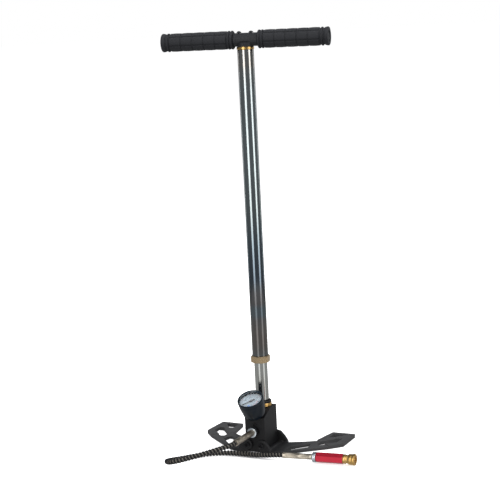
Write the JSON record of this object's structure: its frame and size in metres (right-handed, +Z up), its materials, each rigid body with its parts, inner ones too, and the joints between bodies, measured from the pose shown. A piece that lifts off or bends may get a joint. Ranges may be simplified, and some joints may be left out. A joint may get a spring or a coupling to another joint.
{
  "type": "double action hand pump",
  "caption": "Upright high pressure hand pump: T handle on a sliding outer tube, base block with gauge, folding feet, and a guarded hose with filter sleeve and quick coupler.",
  "frame": {"origin": "middle of the tube axis on the underside of the base block, which is the floor", "axes": "+Z up along the tubes, -Y towards the gauge and the hose fitting, +X to the right seen from the gauge side"},
  "size_m": [0.3039, 0.2453, 0.6458],
  "materials": {
    "black_anodised": "black anodised, satin",
    "brass": "turned, bright",
    "black_rubber": "matte",
    "chrome": "hard chromed, ground",
    "polished_steel": "polished stainless",
    "zinc_plate": "bright zinc plated",
    "copper_washer": "soft copper, satin",
    "nickel_plate": "warm nickel plated",
    "black_plastic": "moulded, slightly glossy",
    "clear_lens": "clear, polished",
    "dial_face": "pale printed face, matte",
    "needle": "dark enamel",
    "aluminium": "machined",
    "grey_casting": "grey, satin lacquered casting",
    "red_anodised": "red anodised, satin",
    "sintered_bronze": "porous, matte"
  },
  "bodies": {
    "base": {"base_block": "black_anodised", "tube_collar": "brass", "landing_bumper": "black_rubber", "tube_foot_seal": "black_rubber", "inner_tube": "chrome", "tube_piston": "brass", "tube_piston_seal": "black_rubber", "outlet_valve_spring": "polished_steel", "fitting_washer": "copper_washer", "hose_fitting": "zinc_plate", "base_ferrule": "nickel_plate", "gauge_bezel": "black_plastic", "gauge_lens": "clear_lens", "gauge_dial": "dial_face", "gauge_case": "black_plastic", "gauge_stem": "brass", "gauge_bourdon_tube": "brass", "pivot_screw_front_left": "zinc_plate", "pivot_screw_front_right": "zinc_plate", "pivot_screw_rear_left": "zinc_plate", "pivot_screw_rear_right": "zinc_plate", "hose": "black_rubber", "end_ferrule": "nickel_plate", "coupler_nut": "zinc_plate", "filter_sleeve": "red_anodised", "filter_core": "sintered_bronze", "coupler_body": "brass", "coupler_spring": "polished_steel", "coupler_seal": "black_rubber"},
    "sliding_seals": {"gland_seal": "black_rubber", "rod_piston_seal": "black_rubber"},
    "handle": {"outer_tube": "polished_steel", "gland_nut": "brass", "top_ring": "brass", "top_plug": "aluminium", "pump_rod": "polished_steel", "rod_piston": "brass", "handle_hub": "black_anodised", "handle_bar": "polished_steel", "handle_screw_left": "zinc_plate", "handle_screw_right": "zinc_plate", "left_grip": "black_rubber", "right_grip": "black_rubber", "left_end_plug": "black_plastic", "right_end_plug": "black_plastic"},
    "left_foot": {"left_foot": "grey_casting"},
    "right_foot": {"right_foot": "grey_casting"},
    "needle": {"gauge_needle": "needle"},
    "bleed_screw": {"bleed_screw": "zinc_plate"},
    "coupler_collar": {"coupler_collar": "brass"},
    "outlet_ball": {"outlet_valve_ball": "polished_steel"}
  },
  "joints": [
    {"name": "pump_stroke", "type": "slide", "parent": "base", "child": "sliding_seals", "axis": [0, 0, 1], "range_m": [0, 0.43]},
    {"name": "handle_turn", "type": "hinge", "parent": "sliding_seals", "child": "handle", "pos_m": [0, 0, 0.3], "axis": [0, 0, 1], "continuous": true},
    {"name": "left_foot_fold", "type": "hinge", "parent": "base", "child": "left_foot", "pos_m": [-0.012, 0, 0.0122], "axis": [0, 1, 0], "range_deg": [0, 90]},
    {"name": "right_foot_fold", "type": "hinge", "parent": "base", "child": "right_foot", "pos_m": [0.012, 0, 0.0122], "axis": [0, -1, 0], "range_deg": [0, 90]},
    {"name": "gauge_reading", "type": "hinge", "parent": "base", "child": "needle", "pos_m": [0, -0.0396, 0.0831], "axis": [0, 0.4384, -0.8988], "range_deg": [0, 270], "stiffness_Nm_per_rad": 0.00002},
    {"name": "bleed_turn", "type": "hinge", "parent": "base", "child": "bleed_screw", "pos_m": [0, -0.0315, 0.0434], "axis": [0, 1, 0], "range_deg": [0, 270]},
    {"name": "coupler_release", "type": "slide", "parent": "base", "child": "coupler_collar", "axis": [-0.9938, -0.1108, 0], "range_m": [0, 0.003], "stiffness_N_per_m": 800, "springref_m": -0.001},
    {"name": "outlet_valve_lift", "type": "slide", "parent": "base", "child": "outlet_ball", "axis": [0, -1, 0], "range_m": [0, 0.0012], "stiffness_N_per_m": 200, "springref_m": -0.001}
  ]
}
